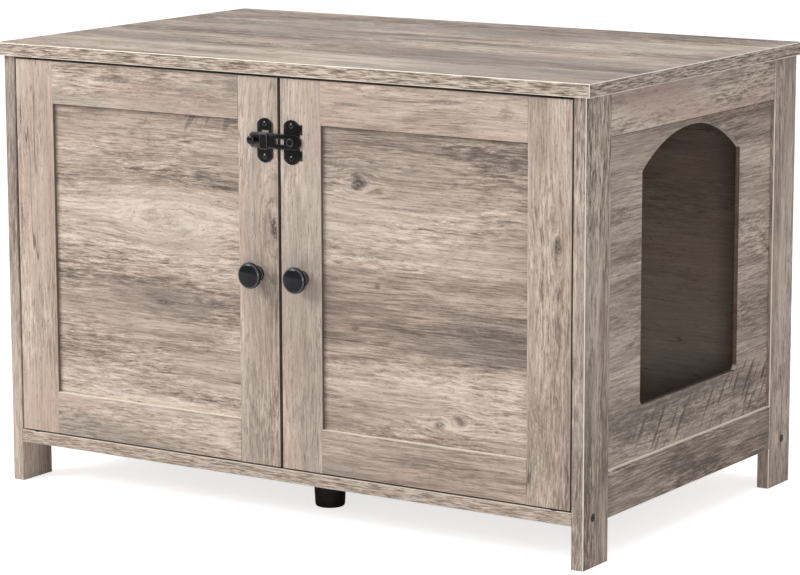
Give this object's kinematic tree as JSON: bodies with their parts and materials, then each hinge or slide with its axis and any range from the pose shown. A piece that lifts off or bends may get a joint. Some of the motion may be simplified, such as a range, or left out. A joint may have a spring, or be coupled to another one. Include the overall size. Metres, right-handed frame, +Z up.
{
  "type": "cat litter box cabinet",
  "caption": "Free-standing side cabinet that hides a cat litter box, with two framed doors, a flip latch and an arched cat entrance in its right side.",
  "frame": {"origin": "centre of the bounding box, on the surface that the legs stand on", "axes": "+X to the right as seen from the front, +Y from the doors to the back, +Z up"},
  "size_m": [0.8, 0.5134, 0.525],
  "materials": {
    "laminate": "weathered oak print, matt",
    "back_board": "weathered oak print, matt",
    "black_metal": "semi-gloss black enamel",
    "knob_enamel": "gloss black enamel",
    "black_plastic": "satin",
    "zinc_steel": "zinc plated",
    "leg_screw_steel": "dull bronzed",
    "browned_steel": "browned",
    "dowel_beech": "plain beech",
    "bush_nylon": "moulded black nylon",
    "catch_plastic": "moulded brown plastic",
    "magnet": "ferrite"
  },
  "bodies": {
    "cabinet": {"top_panel": "laminate", "bottom_panel": "laminate", "front_left_leg": "laminate", "rear_left_leg": "laminate", "front_right_leg": "laminate", "rear_right_leg": "laminate", "left_top_rail": "laminate", "left_bottom_rail": "laminate", "right_top_rail": "laminate", "right_bottom_rail": "laminate", "left_side_panel": "laminate", "right_side_panel": "laminate", "back_panel": "back_board", "centre_feet": "black_plastic", "leg_screws": "leg_screw_steel", "top_dowels": "dowel_beech", "upper_pivot_bushes": "bush_nylon", "lower_pivot_bushes": "bush_nylon", "catch_housing": "catch_plastic", "catch_magnets": "magnet"},
    "left_door": {"left_door_outer_stile": "laminate", "left_door_inner_stile": "laminate", "left_door_top_rail": "laminate", "left_door_bottom_rail": "laminate", "left_door_panel": "laminate", "left_knob": "knob_enamel", "left_pivot_pins": "browned_steel", "left_strike_plate": "zinc_steel", "latch_keeper": "black_metal"},
    "right_door": {"right_door_outer_stile": "laminate", "right_door_inner_stile": "laminate", "right_door_top_rail": "laminate", "right_door_bottom_rail": "laminate", "right_door_panel": "laminate", "right_knob": "knob_enamel", "right_pivot_pins": "browned_steel", "right_strike_plate": "zinc_steel", "latch_base": "black_metal", "latch_rivet": "black_metal"},
    "latch": {"latch_bar": "black_metal", "latch_thumb_knob": "black_metal"}
  },
  "joints": [
    {"name": "left_door_hinge", "type": "hinge", "parent": "cabinet", "child": "left_door", "pos_m": [-0.3555, -0.22875, 0.0635], "axis": [0, 0, -1], "range_deg": [0, 130]},
    {"name": "right_door_hinge", "type": "hinge", "parent": "cabinet", "child": "right_door", "pos_m": [0.3555, -0.22875, 0.0635], "axis": [0, 0, 1], "range_deg": [0, 130]},
    {"name": "latch_pivot", "type": "hinge", "parent": "right_door", "child": "latch", "pos_m": [0.018, -0.23625, 0.436], "axis": [0, 1, 0], "range_deg": [0, 180]}
  ]
}
